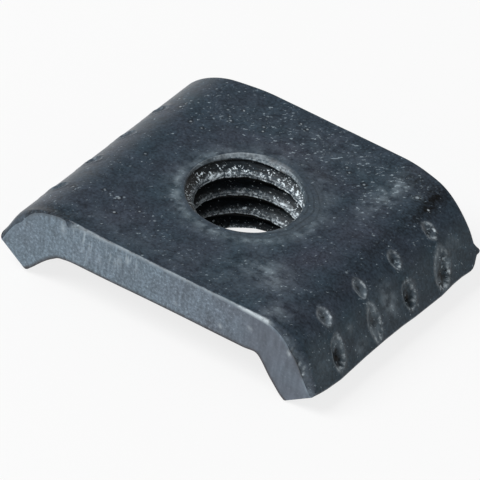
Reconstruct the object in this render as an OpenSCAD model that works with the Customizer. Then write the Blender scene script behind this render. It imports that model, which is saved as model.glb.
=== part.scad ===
// Clamp nut for an M6 bolt: a short piece of thick steel strip, folded down at both ends into
// stubby wings, with a collar drawn down through its middle that carries the thread.
// Origin: on the axis of the thread, level with the lowest edges of the wings. +Z is up, the
// folds run along Y and the wings spread along X. The front is at -Y.

/* [Strip] */
// Width of the strip, along Y
strip_w = 14; // [12:0.5:17]
// Thickness of the strip between the folds
strip_t = 2.05; // [1.7:0.05:2.4]
// Height of the flat top above the wing tips
overall_h = 3.8; // [3.5:0.1:4.6]
// Width of the flat top between the folds, along X
crown_w = 10.9; // [10:0.1:13]
// Radius that the shears leave on the top edge at the front
roll_r = 0.25; // [0.1:0.05:0.4]
// How far the rear of each wing draws in from the edge of the flat top
draw_in = 0.75; // [0.3:0.05:0.9]
// Where the rear edge begins to draw in, from the middle of the nut
neck_start = 3.4; // [3:0.1:3.6]
// Radius of the two arcs in which the rear edge draws in
neck_r = 4.8; // [4:0.1:5.4]

/* [Folds] */
// Radius of the outside of each fold
fold_r = 2.8; // [2.3:0.1:3.2]
// Slope of a wing's outer face below level, degrees
wing_slope = 64; // [56:1:70]
// Width of the flat underside between the folds, along X
arch_w = 10.7; // [10.2:0.1:12]
// Radius of the inside of each fold
arch_r = 0.45; // [0.2:0.05:0.7]
// Slope of a wing's inner face below level, degrees
arch_slope = 47; // [42:1:52]
// Slope of a wing's end face above level, degrees
end_slope = 33; // [26:1:38]
// Radius on the edges of a wing's end face
tip_r = 0.15; // [0.05:0.05:0.25]

/* [Threaded collar] */
// Diameter of the bore at the thread's crests
bore_d = 5; // [4.6:0.1:5.4]
// Diameter of the shallow funnel round the mouth of the bore, at the flat top
mouth_d = 6.4; // [5.8:0.1:6.6]
// Depth of that funnel
mouth_deep = 0.2; // [0.15:0.05:0.3]
// Outside diameter of the collar
collar_d = 7.8; // [7.2:0.1:8.4]
// Length of the collar below the strip
collar_h = 1.6; // [1.2:0.05:1.7]
// Size of the cone between the collar and the strip
root = 0.5; // [0.3:0.05:0.6]
// Chamfer at the lower end of the collar, inside and outside
end_chamfer = 0.15; // [0.1:0.05:0.4]

/* [Grip marks] */
// Number of punch marks in each row
mark_count = 4; // [2:1:4]
// Spacing of the punch marks, along Y
mark_pitch = 2.75; // [2.2:0.05:3]
// Place of the upper row round the fold, degrees from the flat top
upper_turn = 35; // [28:1:40]
// Length of an upper mark, down the fold
upper_len = 0.85; // [0.8:0.05:1.1]
// Width of an upper mark
upper_w = 0.55; // [0.3:0.05:0.6]
// Depth of an upper mark
upper_deep = 0.16; // [0.1:0.02:0.2]
// Lean of an upper mark towards the front as it goes down, degrees
upper_slant = 20; // [0:1:30]
// Distance of the lower row's middle above the wing's outer edge
lower_up = 1; // [0.95:0.05:1.3]
// Length of a lower mark, down the wing
lower_len = 1.6; // [1.2:0.05:1.8]
// Width of a lower mark
lower_w = 0.7; // [0.4:0.05:0.8]
// Depth of a lower mark
lower_deep = 0.26; // [0.14:0.02:0.3]
// Lean of a lower mark towards the front as it goes down, degrees
lower_slant = 10; // [0:1:15]

/* [Hidden] */
$fn = 96;
over = 1; // how far a cutter runs past the metal
lean = 8; // angle at which a rolled edge leaves the faces beside it, degrees
neck_flats = 3; // flats in each arc of the rear edge

under_z = overall_h - strip_t;      // flat underside of the strip
collar_z = under_z - collar_h;      // lower end of the collar
fold_x = crown_w / 2;               // axis of the outside of the fold
fold_z = overall_h - fold_r;
edge_y = strip_w / 2;               // front and rear of the flat top
wing_rear_y = edge_y - draw_in;     // rear of the wings
mark_y = -draw_in / 2;              // middle of a wing, and of its rows of marks
fold_roll_r = roll_r + 0.02;        // folding opens the rolled edge a little round the folds,
wing_roll_r = fold_roll_r + 0.02;   // and a little more on the wings

// Unit vector in a plane, at an angle above its first axis.
function dir(a) = [cos(a), sin(a)];
function cross2(a, b) = a[0] * b[1] - a[1] * b[0];
// Point where the line through p along a meets the line through q along b.
function meet(p, a, q, b) = p + a * cross2(q - p, b) / cross2(a, b);

// Corners of the right-hand half of the section. The rounded tip of the wing stands on z = 0.
fold_end = [fold_x, fold_z] + fold_r * dir(90 - wing_slope);
arch_corner = [arch_w / 2, under_z];
tip_middle = meet(arch_corner + tip_r * dir(90 - arch_slope), dir(-arch_slope),
                  [0, tip_r], dir(0));
tip_in = meet(arch_corner, dir(-arch_slope),
              tip_middle + tip_r * dir(end_slope - 90), dir(end_slope));
tip_out = meet(fold_end, dir(-wing_slope), tip_in, dir(end_slope));

// The rear edge draws in along two equal arcs, in short flats, and then runs straight to the tip.
neck_turn = acos(1 - draw_in / (2 * neck_r));
neck_end = neck_start + 2 * neck_r * sin(neck_turn);
neck_curve = [
    for (i = [0 : neck_flats])
        [neck_start, edge_y - neck_r] + neck_r * dir(90 - neck_turn * i / neck_flats),
    for (i = [neck_flats - 1 : -1 : 0])
        [neck_end, wing_rear_y + neck_r] - neck_r * dir(90 - neck_turn * i / neck_flats),
];

// Bar with its section in X and Z, centred along Y.
module bar(length) {
    rotate([90, 0, 0]) linear_extrude(length, center = true) children();
}

module both_sides() {
    children();
    mirror([1, 0, 0]) children();
}

// What an arc of radius r leaves in the corner at the origin, between the X and Y axes.
module corner_web(r) {
    c = r * cos(lean);
    reach = c - r * sin(lean);
    difference() {
        polygon([[-over, -over], [reach, -over], [reach, 0], [0, reach], [-over, reach]]);
        translate([c, c]) circle(r);
    }
}

// Sliver that rounds the corner at p, between edges that leave it along a and b.
module corner_sliver(p, a, b, r) {
    half = acos(a * b) / 2;
    reach = r / tan(half);
    middle = (a + b) / norm(a + b);
    difference() {
        polygon([p - middle * r, p + a * reach, p + b * reach]);
        translate(p + middle * r / sin(half)) circle(r);
    }
}

// Right-hand half of the strip, solid down to the wing tips.
module half_blank() {
    bar(strip_w) square([fold_x, overall_h]);
    bar(strip_w) intersection() {
        translate([fold_x, fold_z]) circle(fold_r);
        translate([fold_x - over, fold_z]) square([fold_r + 2 * over, fold_r + over]);
    }
    bar(strip_w) polygon([[fold_x, fold_z], fold_end, tip_out, tip_in, [fold_x, 0]]);
}

// Right-hand half of the space under the strip, with the inside radius of the fold.
module half_arch() {
    start = arch_corner - [arch_r * tan(arch_slope / 2), 0];
    bend = start - [0, arch_r];
    length = strip_w + 2 * over;
    bar(length) polygon([[-over, -over], [-over, under_z], start,
                         bend + arch_r * dir(90 - arch_slope),
                         tip_in + over * dir(-arch_slope), [tip_in[0], -over]]);
    bar(length) translate(bend) circle(arch_r);
}

module half_tip_rounding() {
    length = strip_w + 2 * over;
    bar(length) corner_sliver(tip_in, dir(180 - arch_slope), dir(end_slope), tip_r);
    bar(length) corner_sliver(tip_out, dir(180 - wing_slope), dir(180 + end_slope), tip_r);
}

module plain_strip() {
    difference() {
        both_sides() half_blank();
        both_sides() half_arch();
        both_sides() half_tip_rounding();
    }
}

// What the rear edge loses on the right-hand side, where it draws in.
module rear_loss() {
    translate([0, 0, -over]) linear_extrude(overall_h + 2 * over)
        polygon(concat([[neck_start, edge_y + over]], neck_curve,
                       [[tip_out[0] + over, wing_rear_y], [tip_out[0] + over, edge_y + over]]));
}

module necked_strip() {
    difference() {
        plain_strip();
        both_sides() rear_loss();
    }
}

// Rolled top edge along a straight stretch that starts at the origin and faces +Y.
module straight_roll(length, r) {
    rotate([90, 0, 90]) linear_extrude(length) rotate(180) corner_web(r);
}

// Rolled top edge of the right-hand half, at the front.
module front_roll() {
    mirror([0, 1, 0]) {
        translate([0, edge_y, overall_h]) straight_roll(fold_x, roll_r);
        translate([fold_x, 0, fold_z]) rotate([-90, 0, 0])
            rotate_extrude(angle = wing_slope, start = -90)
                translate([fold_r, edge_y]) rotate(180) corner_web(fold_roll_r);
        translate([fold_end[0], edge_y, fold_end[1]]) rotate([0, wing_slope, 0])
            straight_roll(norm(tip_out - fold_end) + over, wing_roll_r);
    }
}

module folded_strip() {
    difference() {
        necked_strip();
        both_sides() front_roll();
    }
}

// Collar that the punch draws down out of the strip, before it is bored.
module collar() {
    translate([0, 0, collar_z + end_chamfer])
        cylinder(under_z - collar_z - end_chamfer + strip_t / 2, d = collar_d);
    translate([0, 0, collar_z])
        cylinder(end_chamfer, d1 = collar_d - 2 * end_chamfer, d2 = collar_d);
    translate([0, 0, under_z - root])
        cylinder(root + over, collar_d / 2, collar_d / 2 + root + over);
}

// Tapping hole, with the funnel at its mouth and the chamfer at its lower end.
module bore() {
    translate([0, 0, collar_z - over]) cylinder(overall_h - collar_z + 2 * over, d = bore_d);
    mouth_over = over * (mouth_d - bore_d) / 2 / mouth_deep;
    translate([0, 0, overall_h - mouth_deep])
        cylinder(mouth_deep + over, bore_d / 2, mouth_d / 2 + mouth_over);
    wide = end_chamfer + over;
    translate([0, 0, collar_z - over]) cylinder(wide, bore_d / 2 + wide, bore_d / 2);
}

// Nose of a punch, ring-shaped, that leaves a mark of the given size in a face at z = 0. The
// mark is long in X. The face bends away from the nose with the given curvature in X.
module punch(length, width, deep, curvature) {
    side_r = (width ^ 2 / 4 + deep ^ 2) / (2 * deep);
    nose_r = 1 / (8 * deep / length ^ 2 - curvature);
    translate([0, 0, nose_r - deep]) rotate([90, 0, 0])
        rotate_extrude() translate([nose_r - side_r, 0]) circle(side_r);
}

// Both rows of marks on the right-hand wing.
module wing_marks() {
    for (i = [0 : mark_count - 1]) translate([0, mark_y + (i - (mark_count - 1) / 2) * mark_pitch, 0]) {
        translate([fold_x, 0, fold_z]) rotate([0, upper_turn, 0])
            translate([0, 0, fold_r]) rotate(-upper_slant)
                punch(upper_len, upper_w, upper_deep, 1 / fold_r);
        translate([tip_out[0], 0, tip_out[1]]) rotate([0, wing_slope, 0])
            translate([-lower_up, 0, 0]) rotate(-lower_slant)
                punch(lower_len, lower_w, lower_deep, 0);
    }
}

module clamp_nut() {
    color("#3a434b") difference() {
        union() {
            folded_strip();
            collar();
        }
        bore();
        both_sides() wing_marks();
    }
}

clamp_nut();
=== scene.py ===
"""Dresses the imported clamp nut: the folded strip with its edge, threaded bore and punch marks."""

import math

import bmesh
import bpy
from bpy.props import FloatProperty, FloatVectorProperty, PointerProperty
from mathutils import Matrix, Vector, noise


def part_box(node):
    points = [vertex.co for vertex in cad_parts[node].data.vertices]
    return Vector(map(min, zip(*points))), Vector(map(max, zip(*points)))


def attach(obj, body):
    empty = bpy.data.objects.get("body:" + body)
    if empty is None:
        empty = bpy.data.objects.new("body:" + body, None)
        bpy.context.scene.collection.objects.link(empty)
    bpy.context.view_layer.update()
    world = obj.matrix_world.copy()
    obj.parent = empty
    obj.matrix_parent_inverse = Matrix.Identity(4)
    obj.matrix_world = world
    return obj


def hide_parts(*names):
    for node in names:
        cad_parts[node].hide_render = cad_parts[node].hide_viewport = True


bl_info = {
    "name": "Clamp nut",
    "version": (1, 0, 0),
    "blender": (4, 5, 0),
    "location": "3D View > Sidebar > Clamp nut",
    "description": "Builds a pressed steel clamp nut on a pale studio floor",
    "category": "Add Mesh",
}

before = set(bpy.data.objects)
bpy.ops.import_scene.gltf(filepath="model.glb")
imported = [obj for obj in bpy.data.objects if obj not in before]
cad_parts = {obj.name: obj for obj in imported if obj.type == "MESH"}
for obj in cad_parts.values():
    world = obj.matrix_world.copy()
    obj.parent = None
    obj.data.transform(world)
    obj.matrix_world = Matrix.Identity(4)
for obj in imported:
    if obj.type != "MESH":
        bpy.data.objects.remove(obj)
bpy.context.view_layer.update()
LOW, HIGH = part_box("clamp_nut")
MM = 0.001
MOUTH_R = 3.2


# ---------------------------------------------------------------- sizes

def length(name, default, description):
    """A length in millimetres, kept in metres."""
    return FloatProperty(name=name, description=description, default=default * MM,
                         min=0.0, precision=5, unit="LENGTH")


def angle(name, default, description):
    return FloatProperty(name=name, description=description, default=math.radians(default),
                         unit="ROTATION")


def linear(hex_colour):
    """Linear red, green and blue of an sRGB hex colour."""
    parts = [int(hex_colour[i:i + 2], 16) / 255 for i in (1, 3, 5)]
    return [c / 12.92 if c <= 0.04045 else ((c + 0.055) / 1.055) ** 2.4 for c in parts]


def colour(name, default, description):
    return FloatVectorProperty(name=name, description=description, subtype="COLOR", size=3,
                               min=0.0, max=1.0, default=linear(default))


class ClampNutSizes(bpy.types.PropertyGroup):
    strip_t: length("Strip thickness", 2.05, "Thickness of the strip between the folds")
    crown_w: length("Crown width", 10.9, "Width of the flat top between the folds")
    fold_r: length("Fold radius", 2.8, "Radius of the outside of each fold")
    wing_slope: angle("Wing slope", 64, "Slope of a wing's outer face below level")
    arch_w: length("Arch width", 10.7, "Width of the flat underside between the folds")
    arch_r: length("Arch radius", 0.45, "Radius of the inside of each fold")
    arch_slope: angle("Arch slope", 47, "Slope of a wing's inner face below level")
    end_slope: angle("End slope", 33, "Slope of the right-hand wing's end face above level")
    left_end_slope: angle("Left end slope", 35.3, "Slope of the left-hand wing's end face")
    left_lift: length("Left lift", 0.17, "How much higher the left-hand wing ends")
    tip_r: length("Tip radius", 0.15, "Radius on the lower edge of a wing's end face")
    draw_in: length("Draw in", 0.95, "How far the rear of the right-hand wing draws in")
    left_draw_in: length("Left draw in", 0.6, "How far the rear of the left-hand wing draws in")
    collar_r: length("Collar radius", 3.9, "Outside radius of the collar")
    collar_h: length("Collar length", 1.6, "Length of the collar below the strip")
    root_r: length("Root size", 0.5, "Size of the cone between the collar and the strip")
    chamfer: length("Chamfer", 0.015, "Chamfer at the lower end of the collar")


class ClampNutThread(bpy.types.PropertyGroup):
    pitch: length("Pitch", 1.0, "Pitch of the M6 thread")
    crest_r: length("Crest radius", 2.5, "Radius of the bore at the thread's crests")
    root_r: length("Root radius", 3.02, "Radius at the bottom of the thread's grooves")
    crest_w: length("Crest width", 0.2, "Width of the flat on each crest")
    mouth_r: length("Mouth radius", MOUTH_R, "Radius of the wide mouth at the flat top")
    mouth_deep: length("Mouth depth", 0.2, "Depth of the mouth")
    start: angle("Start", 30.6, "Direction from the axis in which a crest lies at the start depth")
    start_z: length("Start depth", 1.12, "Depth of that crest's lower edge under the flat top")


class ClampNutMarks(bpy.types.PropertyGroup):
    upper_s: length("Upper row", 7.18, "Distance of the upper row from the middle, round the fold")
    upper_len: length("Upper length", 0.9, "Length of an upper mark, down the fold")
    upper_w: length("Upper width", 0.64, "Width of an upper mark")
    upper_deep: length("Upper depth", 0.11, "Depth of an upper mark")
    lower_s: length("Lower row", 8.9, "Distance of the lower row from the middle, round the fold")
    lower_len: length("Lower length", 1.6, "Length of a lower mark, down the wing")
    lower_w: length("Lower width", 0.8, "Width of a lower mark")
    lower_deep: length("Lower depth", 0.22, "Depth of a lower mark")


class ClampNutColours(bpy.types.PropertyGroup):
    oxide_cool: colour("Cool black oxide", "#293842", "Bluish parts of the blackened face")
    oxide_warm: colour("Warm black oxide", "#373a45", "Purplish parts of the blackened face")
    sheared: colour("Sheared edge", "#64737f", "Blackened edge that the shears left")
    sheared_warm: colour("Warm sheared edge", "#59616c", "Sheared edge towards the right")
    # Pale grey-blue for real haze and dust, also used for painted highlights: the ring round the
    # mouth's rounded rim, the pale back of the mouth and the rims of the punch marks.
    haze_and_highlight: colour("Haze", "#8a979f", "Dry haze and dust on the black")
    # Pale steel for spots worn through the black, also used for painted highlights along the rolled
    # front edge, the upper border of the sheared face, the rims of the punch marks and the back of
    # the mouth.
    bare_and_highlight: colour("Bare steel", "#b9c3c9", "Steel that shows where the black has worn off")
    # Brown for dried oil low in the thread, also used for painted shade along the lower border of
    # the sheared face and in the crease at the right-hand fold.
    oil_and_shade: colour("Oil", "#2e2521", "Dried oil along the sheared edge and low in the thread")
    # Near black for dried soiling and the turning lines, also used for painted shade: the grooves
    # and left wall of the thread, the pits of the punch marks, the right-hand fold, the dip behind
    # the hump, and a dark dot beside the small specks.
    grime_and_shade: colour("Grime", "#0b0a09", "Dirt and oil in the thread and the marks")
    backdrop: colour("Backdrop", "#ffffff", "Floor and surroundings")


# ---------------------------------------------------------------- shape of the strip

class Strip:
    """Outer and inner face of the bent strip, in millimetres.

    s is the distance from the middle, measured round the outer face, and q round the inner one.
    """

    def __init__(self, sizes):
        self.top = HIGH.z / MM
        self.edge_y = HIGH.y / MM
        self.under = self.top - sizes.strip_t / MM
        self.fold_x = sizes.crown_w / MM / 2
        self.fold_r = sizes.fold_r / MM
        self.slope = sizes.wing_slope
        self.arch_r = sizes.arch_r / MM
        self.arch_slope = sizes.arch_slope
        arch_x = sizes.arch_w / MM / 2
        self.arch_x = arch_x - self.arch_r * math.tan(self.arch_slope / 2)
        self.corner = Vector((arch_x, self.under))
        self.tip_r = sizes.tip_r / MM
        self.fold_len = self.fold_r * self.slope
        self.fold_end = (Vector((self.fold_x, self.top - self.fold_r))
                         + self.fold_r * direction(math.pi / 2 - self.slope))
        self.bend_len = self.arch_r * self.arch_slope
        self.bend_end = (Vector((self.arch_x, self.under - self.arch_r))
                         + self.arch_r * direction(math.pi / 2 - self.arch_slope))
        self.ends = {1: self.end(sizes.end_slope, 0),
                     -1: self.end(sizes.left_end_slope, sizes.left_lift / MM)}

    def end(self, slope, lift):
        """Where the outer and the inner face of a wing meet its end face, as s and q."""
        down = direction(-self.arch_slope)
        tip = meet(self.corner + self.tip_r * direction(math.pi / 2 - self.arch_slope), down,
                   Vector((0, self.tip_r + lift)), direction(0))
        inside = meet(self.corner, down, tip + self.tip_r * direction(slope - math.pi / 2),
                      direction(slope))
        outside = meet(self.fold_end, direction(-self.slope), inside, direction(slope))
        return (self.fold_x + self.fold_len + (outside - self.fold_end).length,
                self.arch_x + self.bend_len + (inside - self.bend_end).length)

    def bent(self, away, flat_x, level, r, slope):
        """Point and turn of a face at a distance from the middle: level, bent, then straight."""
        if away <= flat_x:
            return Vector((away, level)), 0
        turn = min((away - flat_x) / r, slope)
        point = Vector((flat_x, level - r)) + r * direction(math.pi / 2 - turn)
        past = away - flat_x - r * slope
        if past > 0:
            point += past * direction(-slope)
        return point, turn

    def outer(self, s):
        """Point of the outer face and its outward normal, in X and Z."""
        side = math.copysign(1, s)
        point, turn = self.bent(abs(s), self.fold_x, self.top, self.fold_r, self.slope)
        normal = direction(math.pi / 2 - turn)
        return Vector((side * point.x, point.y)), Vector((side * normal.x, normal.y))

    def inner(self, q):
        """Point of the inner face and its outward normal, in X and Z."""
        side = math.copysign(1, q)
        point, turn = self.bent(abs(q), self.arch_x, self.under, self.arch_r, self.arch_slope)
        normal = direction(math.pi / 2 - turn)
        return Vector((side * point.x, point.y)), Vector((-side * normal.x, -normal.y))

    def matching_q(self, s):
        """Place on the inner face that lies behind s on the outer face."""
        # The outer fold ends 1 mm past the bend of the inner face.
        s_max, q_max = self.ends[1 if s > 0 else -1]
        knees_s = (0, self.fold_x, self.fold_x + self.fold_len, s_max)
        knees_q = (0, self.arch_x, self.arch_x + self.bend_len + 1.0, q_max)
        return math.copysign(along(abs(s), knees_s, knees_q), s)


def direction(turn):
    return Vector((math.cos(turn), math.sin(turn)))


def meet(p, a, q, b):
    """Point where the line through p along a meets the line through q along b."""
    gap = q - p
    return p + a * (gap.x * b.y - gap.y * b.x) / (a.x * b.y - a.y * b.x)


def along(value, xs, ys):
    """Straight-line interpolation through the points (xs, ys)."""
    if value <= xs[0]:
        return ys[0]
    for x0, x1, y0, y1 in zip(xs, xs[1:], ys, ys[1:]):
        if value <= x1:
            return y0 + (y1 - y0) * (value - x0) / (x1 - x0)
    return ys[-1]


def smooth(value, low, high):
    """0 below low, 1 above high, and a smooth rise between them."""
    t = min(max((value - low) / (high - low), 0), 1)
    return t * t * (3 - 2 * t)


def between(value, a, b, c, d):
    """0 outside a and d, 1 from b to c, and smooth in between."""
    return smooth(value, a, b) * smooth(-value, -d, -c)


def bell(value, width):
    return math.exp(-(value / width) ** 2)


def wave(x, y, z):
    """Smooth noise between about -1 and 1."""
    return noise.noise(Vector((x, y, z)))


def clouds(blots, s, y):
    """Sum of soft blots, each (s, y, half length, half width, strength)."""
    return sum(k * bell(math.hypot((s - bs) / ls, (y - by) / ly), 1)
               for bs, by, ls, ly, k in blots
               if abs(s - bs) < 3 * ls and abs(y - by) < 3 * ly)


def spread(points, count):
    """count points at even steps along an open line, without its last point."""
    steps = [(b - a).length for a, b in zip(points, points[1:])]
    total, found, done, i = sum(steps), [], 0, 0
    for k in range(count):
        at = total * k / count
        while i < len(steps) - 1 and done + steps[i] < at:
            done += steps[i]
            i += 1
        found.append(points[i].lerp(points[i + 1], (at - done) / steps[i]))
    return found


# ---------------------------------------------------------------- the nut

# Columns of the mesh along each stretch of the outline, in the order in which it is walked.
FRONT_STEPS, RIGHT_STEPS, CORNER_STEPS, REAR_STEPS, LEFT_STEPS = 150, 84, 30, 132, 84
# Rows of the mesh: over the face, over the rolled edge, down the side, round its lower edge and
# over the inner face.
FACE_ROWS, ROLL_ROWS, SIDE_ROWS, TIP_ROWS, UNDER_ROWS = 46, 5, 12, 3, 11
# Size of the strip's lower edge at the front and the rear, in millimetres.
LOWER_EDGE = 0.04
# Rows of the mesh in one turn of the thread, as shares of the pitch, closest on the crest, and
# depths of the rows in the mouth above them.
HELIX = 0, 0.03, 0.1, 0.18, 0.24, 0.33, 0.42, 0.5, 0.58, 0.68, 0.78, 0.9
LIP_DEPTHS = 0.12, 0.1, 0.08, 0.06, 0.04, 0.022, 0.01, 0.003

# The sheared end of the right-hand wing, from front to rear, as (s, y): it waves a little, and
# its rear corner is rounded and carries a small burr.
RIGHT_END = ((9.94, -7), (10.06, -6), (10.12, -5), (10.02, -3), (9.98, -1.5), (9.99, 0),
             (10.04, 1), (10.06, 3.0), (9.97, 4.0), (9.96, 4.7), (9.99, 5.35))
RIGHT_CORNER = ((9.99, 5.35), (9.96, 5.55), (9.84, 5.74), (9.63, 5.95), (9.53, 6.06), (9.52, 6.26),
                (9.45, 6.34), (9.33, 6.31), (9.16, 6.18), (8.95, 6.07))

# The edge that the shears rolled over at the front, as (s, reach over the face, depth down the
# side). On the left-hand fold the sheared face stands up in a hump that ends in a step.
FRONT_ROLL = ((-9.7, 0.3, 0.22), (-9.3, 0.4, 0.2), (-8.9, 0.5, 0.22), (-8.4, 0.5, 0.27),
              (-7.9, 0.45, 0.37), (-7.33, 0.3, 0.24), (-7.0, 0.1, 0.16), (-6.45, 0.07, 0.11),
              (-5.9, 0.06, 0.1), (-5.4, 0.03, 0.03), (-5.1, 0.03, 0.06), (-4.98, 0.12, 0.36),
              (-4.8, 0.12, 0.3), (-4.45, 0.1, 0.14), (-3.2, 0.08, 0.07), (-1.9, 0.06, 0.04),
              (2.1, 0.06, 0.035), (4.2, 0.08, 0.05), (4.8, 0.09, 0.07), (5.1, 0.1, 0.09),
              (5.9, 0.17, 0.15), (6.44, 0.28, 0.22), (7.45, 0.38, 0.42), (8.28, 0.38, 0.42),
              (8.95, 0.36, 0.38), (9.58, 0.3, 0.32), (9.99, 0.2, 0.24))

# The mouth of the bore by turn in degrees: its radius at the face and at its low end where the
# set one is MOUTH_R, and its depth as a share of the set one. It is widest at the back.
MOUTH_TURNS = 0, 20, 43, 55, 66, 80, 95, 110, 135, 160, 190, 225, 255, 285, 315, 340, 360
MOUTH_RADII = (2.46, 2.42, 2.46, 2.56, 2.7, 2.9, 3.1, 3.18, 3.22, 3.18, 3.06, 2.94, 2.87, 2.82,
               2.72, 2.58, 2.46)
MOUTH_LOWS = (2.46, 2.42, 2.46, 2.5, 2.52, 2.6, 2.7, 2.8, 2.97, 3.03, 2.98, 2.88, 2.8, 2.74, 2.63,
              2.52, 2.46)
MOUTH_DEPTHS = 1.5, 2.2, 3.0, 2.2, 1.6, 1.4, 1.3, 1.25, 1, 0.75, 0.5, 0.5, 0.5, 0.5, 0.5, 0.75, 1.5

# Layers that keep a point's place on the unbent outer face, and the material of each zone.
PLACES = "skin_s", "skin_y", "on_skin"
SLOTS = {"skin": 0, "roll": 0, "side": 1, "mouth": 0, "thread": 2, "under": 0, "collar": 0}


class Mark:
    """One punch mark in the outer face: a long pit with a raised and broken rim."""

    def __init__(self, s, y, half_length, half_width, deep, slant, rim, core=(0, 0), seed=0):
        self.s, self.y, self.a, self.b = s, y, half_length, half_width
        self.deep, self.slant, self.rim, self.core, self.seed = deep, slant, rim, core, seed
        self.reach = 2.2 * max(half_length, half_width)

    def near(self, s, y):
        return abs(s - self.s) < self.reach and abs(y - self.y) < self.reach

    def place(self, s, y):
        """Along, across and distance from the middle, as shares of the mark's half sizes."""
        ds, dy = math.copysign(1, self.s) * (s - self.s), y - self.y
        uneven = 1 + 0.16 * wave(s * 2.2, y * 2.2, self.seed)
        a = (ds * math.cos(self.slant) - dy * math.sin(self.slant)) / self.a * uneven
        b = (dy * math.cos(self.slant) + ds * math.sin(self.slant)) / self.b * uneven
        return a, b, math.hypot(a, b)

    def lee(self, a, b, r):
        """How far a place lies on the side to which the punch pushed the metal, from 0 to 1."""
        return 0.5 + 0.5 * (0.55 * a + 0.6 * b) / max(r, 0.2)

    def height(self, s, y):
        """Height of the mark's rim or depth of its pit, in millimetres."""
        a, b, r = self.place(s, y)
        depth = 0
        if r < 1:
            off = math.hypot(a - self.core[0], b - self.core[1])
            depth = self.deep * (1 - r * r) ** 0.7 * (0.45 + 0.55 * bell(off, 0.75))
            depth *= 1 + 0.3 * wave(s * 5, y * 5, self.seed)
        rough = 0.75 + 0.5 * wave(s * 4, y * 4, self.seed + 3)
        rim = self.rim * rough * (0.4 + 0.6 * self.lee(a, b, r))
        return rim * bell(r - 1.1, 0.17 if r < 1.1 else 0.3) - depth


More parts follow.
